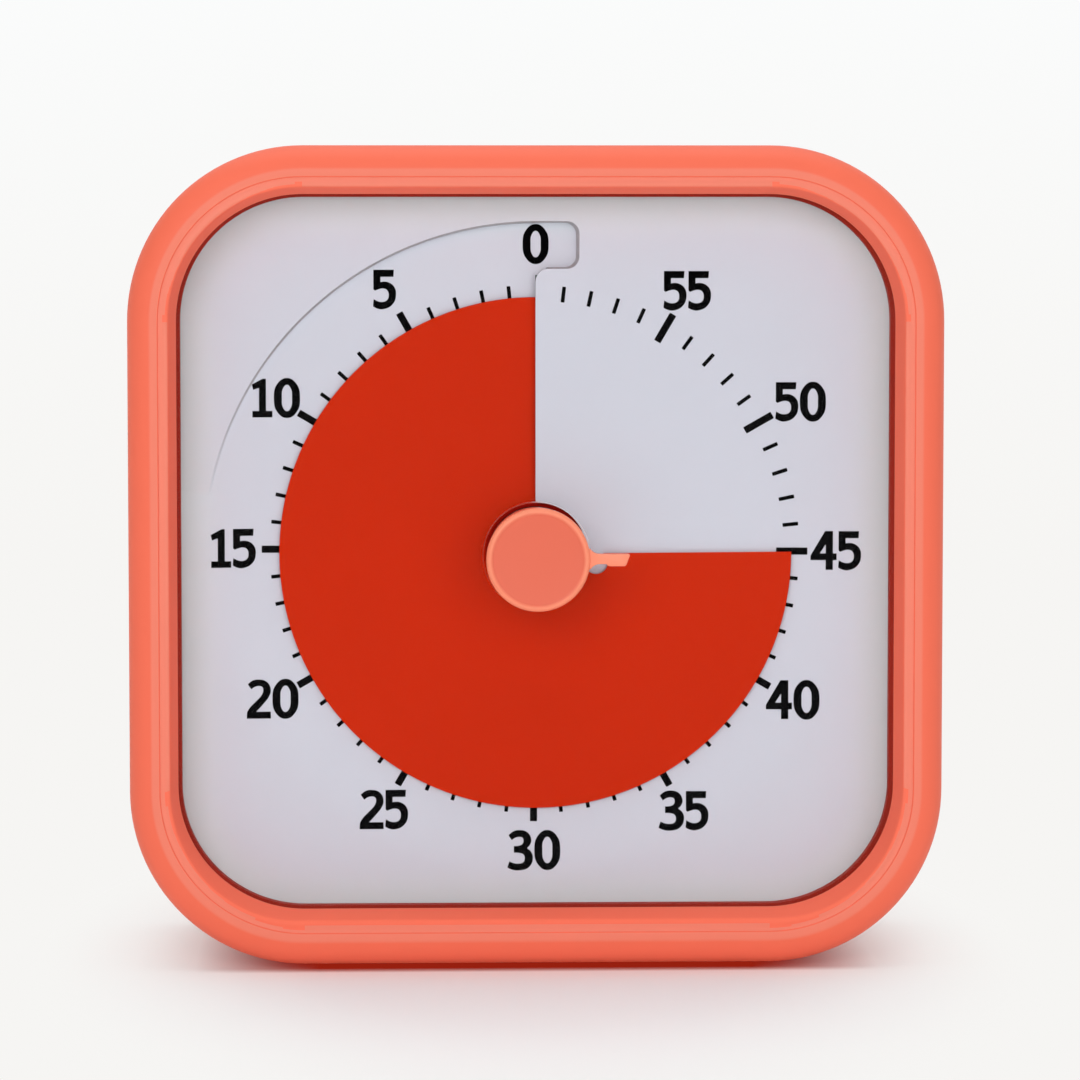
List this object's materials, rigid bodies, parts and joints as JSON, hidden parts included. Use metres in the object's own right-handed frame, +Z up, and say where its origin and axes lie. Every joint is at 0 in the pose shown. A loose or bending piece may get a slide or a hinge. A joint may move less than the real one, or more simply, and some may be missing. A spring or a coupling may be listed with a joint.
{
  "type": "visual countdown timer",
  "caption": "Square desk timer in a soft sleeve: turning the knob winds a red disc out of a slit in the dial, and a quartz movement winds it back.",
  "frame": {"origin": "centre of the flat underside of the sleeve, in the plane halfway between the knob's face and the sleeve's back", "axes": "+Z up; the dial faces -Y; +X is to the right as seen from the front"},
  "size_m": [0.09, 0.04, 0.0905],
  "materials": {
    "sleeve_silicone": "matte silicone",
    "case_abs": "fine satin",
    "lens_clear": "polished clear",
    "dial_grey": "matte, printed numerals",
    "disc_red": "satin film",
    "knob_abs": "satin",
    "hub_black": "satin",
    "movement_white": "moulded",
    "wheel_acetal": "moulded",
    "movement_black": "moulded",
    "steel_part": "satin",
    "brass_part": "satin",
    "magnet_dark": "sintered",
    "copper_wire": "enamelled copper",
    "board_green": "solder mask",
    "chip_epoxy": "epoxy",
    "buzzer_brass": "plated",
    "cell_label": "printed film",
    "lead_red": "insulation",
    "lead_black": "insulation"
  },
  "bodies": {
    "case": {"sleeve": "sleeve_silicone", "front_bezel": "case_abs", "rear_case": "case_abs", "lens": "lens_clear", "dial_plate": "dial_grey", "movement_base": "movement_white", "movement_cover": "movement_black", "arbor_bush": "brass_part", "stator": "steel_part", "coil_bobbin": "movement_white", "coil_winding": "copper_wire", "alarm_leaf": "brass_part", "main_board": "board_green", "timer_chip": "chip_epoxy", "crystal_can": "steel_part", "coil_leads": "copper_wire", "switch_body": "steel_part", "buzzer": "buzzer_brass", "buzzer_ring": "hub_black", "battery_cell": "cell_label", "contact_spring": "steel_part", "contact_plate": "steel_part", "lead_red": "lead_red", "lead_black": "lead_black", "case_screws": "steel_part", "movement_screws": "steel_part", "board_screws": "steel_part"},
    "knob": {"knob_cap": "knob_abs", "arbor": "steel_part", "clutch_spring": "steel_part", "zero_cam": "movement_white"},
    "disc": {"time_disc": "disc_red", "disc_hub": "hub_black"},
    "centre": {"centre_wheel": "brass_part"},
    "third": {"third_wheel": "wheel_acetal"},
    "fourth": {"fourth_wheel": "wheel_acetal"},
    "fifth": {"fifth_wheel": "wheel_acetal"},
    "rotor": {"rotor_pinion": "wheel_acetal", "rotor_magnet": "magnet_dark"},
    "door": {"battery_door": "case_abs"},
    "slider": {"switch_knob": "hub_black"}
  },
  "joints": [
    {"name": "knob_turn", "type": "hinge", "parent": "case", "child": "knob", "pos_m": [0, 0, 0.04525], "axis": [0, -1, 0], "range_deg": [-270, 90]},
    {"name": "disc_travel", "type": "slide", "parent": "knob", "child": "disc", "axis": [0, -1, 0], "range_m": [-0.0009, 0.0003]},
    {"name": "fourth_wheel_spin", "type": "hinge", "parent": "case", "child": "fourth", "pos_m": [0.00121, 0, 0.05932], "axis": [0, -1, 0], "continuous": true},
    {"name": "third_wheel_spin", "type": "hinge", "parent": "case", "child": "third", "pos_m": [-0.01034, 0, 0.05393], "axis": [0, -1, 0], "continuous": true},
    {"name": "centre_wheel_spin", "type": "hinge", "parent": "case", "child": "centre", "pos_m": [0, 0, 0.04525], "axis": [0, -1, 0], "continuous": true},
    {"name": "fifth_wheel_spin", "type": "hinge", "parent": "case", "child": "fifth", "pos_m": [0.01108, 0, 0.05572], "axis": [0, -1, 0], "continuous": true},
    {"name": "rotor_spin", "type": "hinge", "parent": "case", "child": "rotor", "pos_m": [0.01416, 0, 0.04727], "axis": [0, -1, 0], "continuous": true},
    {"name": "battery_door_hinge", "type": "hinge", "parent": "case", "child": "door", "pos_m": [0, 0.0183, 0.00715], "axis": [-1, 0, 0], "range_deg": [0, 80]},
    {"name": "alert_switch", "type": "slide", "parent": "case", "child": "slider", "axis": [1, 0, 0], "range_m": [0, 0.003]}
  ],
  "couplings": [
    {"joint": "disc_travel", "follows": "knob_turn", "m_per_rad": 0.00019099},
    {"joint": "third_wheel_spin", "follows": "fourth_wheel_spin", "ratio": -0.13333},
    {"joint": "centre_wheel_spin", "follows": "fourth_wheel_spin", "ratio": 0.016667},
    {"joint": "fifth_wheel_spin", "follows": "fourth_wheel_spin", "ratio": -6},
    {"joint": "rotor_spin", "follows": "fourth_wheel_spin", "ratio": 30}
  ]
}
